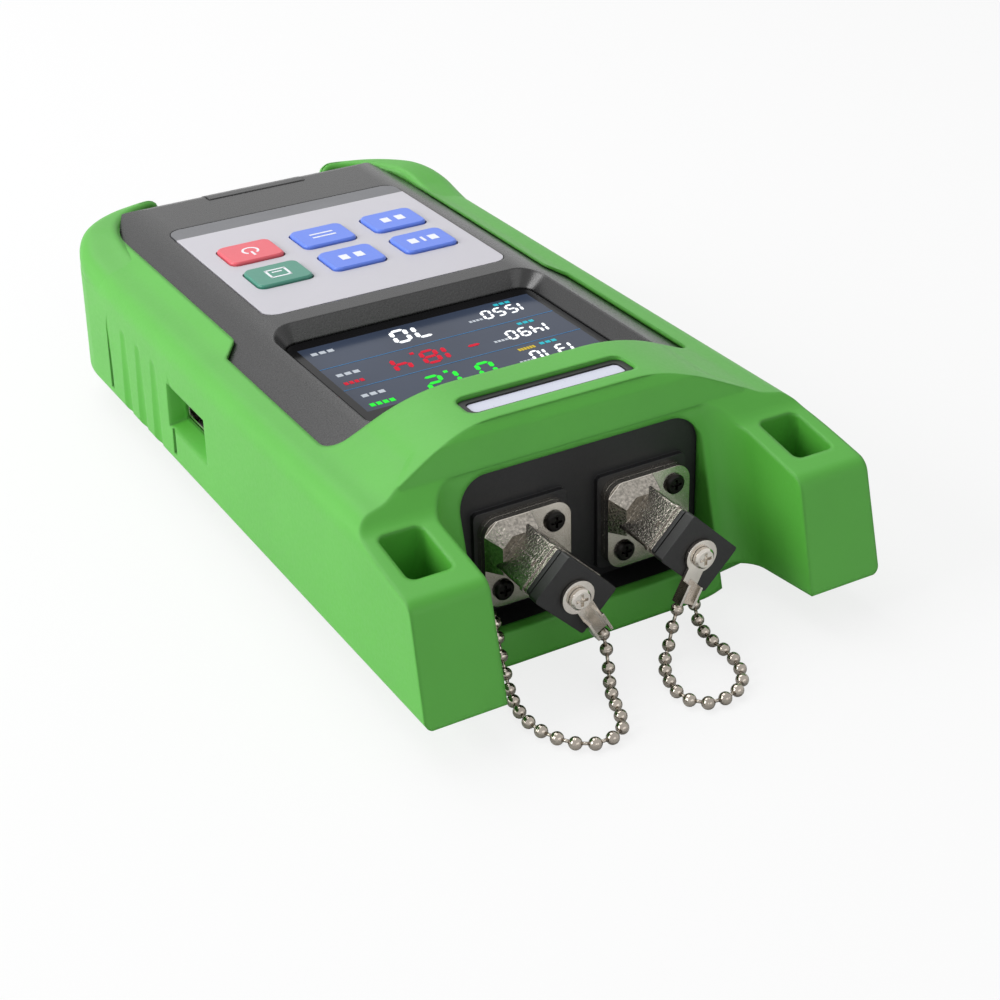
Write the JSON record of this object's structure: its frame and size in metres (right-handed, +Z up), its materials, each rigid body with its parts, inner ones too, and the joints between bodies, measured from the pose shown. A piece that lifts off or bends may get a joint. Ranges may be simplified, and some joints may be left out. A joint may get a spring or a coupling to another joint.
{
  "type": "optical power meter",
  "caption": "Handheld fibre optic power meter in a green rubber boot, with two square optical ports, dust caps on ball chains, a screen and coloured keys.",
  "frame": {"origin": "on the base, midway between the boot's front and far end", "axes": "+X across the meter, +Y from the port end to the far end, +Z up from the base to the screen"},
  "size_m": [0.093, 0.1921, 0.0415],
  "materials": {
    "green_rubber": "matt, soft rubber",
    "shell_plastic": "fine matt grey",
    "black_plastic": "matt black",
    "screen_glass": "clear window",
    "lcd": "dark display",
    "overlay": "light grey film",
    "key_red": "satin",
    "key_green": "satin",
    "key_blue": "satin",
    "nickel": "bright nickel",
    "black_steel": "black oxide",
    "plate": "pale lilac film",
    "board": "green solder mask",
    "domes": "pressed steel",
    "battery": "wrapped",
    "ceramic": "zirconia",
    "brass_can": "gold plated"
  },
  "bodies": {
    "meter": {"protective_boot": "green_rubber", "front_shell": "shell_plastic", "rear_shell": "shell_plastic", "port_panel": "black_plastic", "display_window": "screen_glass", "lcd_module": "lcd", "keypad_overlay": "overlay", "key_domes": "domes", "main_board": "board", "board_screws": "nickel", "display_cable": "overlay", "battery_pack": "battery", "battery_contacts": "nickel", "battery_door": "shell_plastic", "battery_door_screw": "black_steel", "shell_screws": "black_steel", "usb_socket": "nickel", "usb_tongue": "black_plastic", "end_plug": "shell_plastic", "label_frame": "black_plastic", "label_plate": "plate", "filter_block": "black_plastic", "adapter_left": "nickel", "adapter_right": "nickel", "adapter_base_left": "nickel", "adapter_base_right": "nickel", "ferrule_sleeve_left": "ceramic", "ferrule_sleeve_right": "ceramic", "adapter_screws_left": "black_steel", "adapter_screws_right": "black_steel", "ball_chain_left": "nickel", "ball_chain_right": "nickel", "chain_anchor_left": "nickel", "chain_anchor_right": "nickel", "detector_left": "brass_can", "detector_right": "brass_can"},
    "cap_left": {"dust_cap_left": "black_plastic", "cap_screw_left": "nickel"},
    "lug_left": {"ring_lug_left": "nickel"},
    "cap_right": {"dust_cap_right": "black_plastic", "cap_screw_right": "nickel"},
    "lug_right": {"ring_lug_right": "nickel"},
    "power_key": {"power_key": "key_red"},
    "menu_key": {"menu_key": "key_blue"},
    "enter_key": {"enter_key": "key_blue"},
    "save_key": {"save_key": "key_green"},
    "wavelength_key": {"wavelength_key": "key_blue"},
    "reference_key": {"reference_key": "key_blue"}
  },
  "joints": [
    {"name": "power_key_press", "type": "slide", "parent": "meter", "child": "power_key", "axis": [0, 0, -1], "range_m": [0, 0.0004], "stiffness_N_per_m": 600},
    {"name": "menu_key_press", "type": "slide", "parent": "meter", "child": "menu_key", "axis": [0, 0, -1], "range_m": [0, 0.0004], "stiffness_N_per_m": 600},
    {"name": "enter_key_press", "type": "slide", "parent": "meter", "child": "enter_key", "axis": [0, 0, -1], "range_m": [0, 0.0004], "stiffness_N_per_m": 600},
    {"name": "save_key_press", "type": "slide", "parent": "meter", "child": "save_key", "axis": [0, 0, -1], "range_m": [0, 0.0004], "stiffness_N_per_m": 600},
    {"name": "wavelength_key_press", "type": "slide", "parent": "meter", "child": "wavelength_key", "axis": [0, 0, -1], "range_m": [0, 0.0004], "stiffness_N_per_m": 600},
    {"name": "reference_key_press", "type": "slide", "parent": "meter", "child": "reference_key", "axis": [0, 0, -1], "range_m": [0, 0.0004], "stiffness_N_per_m": 600},
    {"name": "cap_left_pull", "type": "slide", "parent": "meter", "child": "cap_left", "axis": [0, -1, 0], "range_m": [0, 0.016], "deforming": ["ball_chain_left"]},
    {"name": "lug_left_turn", "type": "hinge", "parent": "cap_left", "child": "lug_left", "pos_m": [-0.01265, -0.082, 0.0172], "axis": [0, 1, 0], "range_deg": [-45, 45], "deforming": ["ball_chain_left"]},
    {"name": "cap_right_pull", "type": "slide", "parent": "meter", "child": "cap_right", "axis": [0, -1, 0], "range_m": [0, 0.016], "deforming": ["ball_chain_right"]},
    {"name": "lug_right_turn", "type": "hinge", "parent": "cap_right", "child": "lug_right", "pos_m": [0.01265, -0.082, 0.0172], "axis": [0, 1, 0], "range_deg": [-45, 45], "deforming": ["ball_chain_right"]}
  ]
}
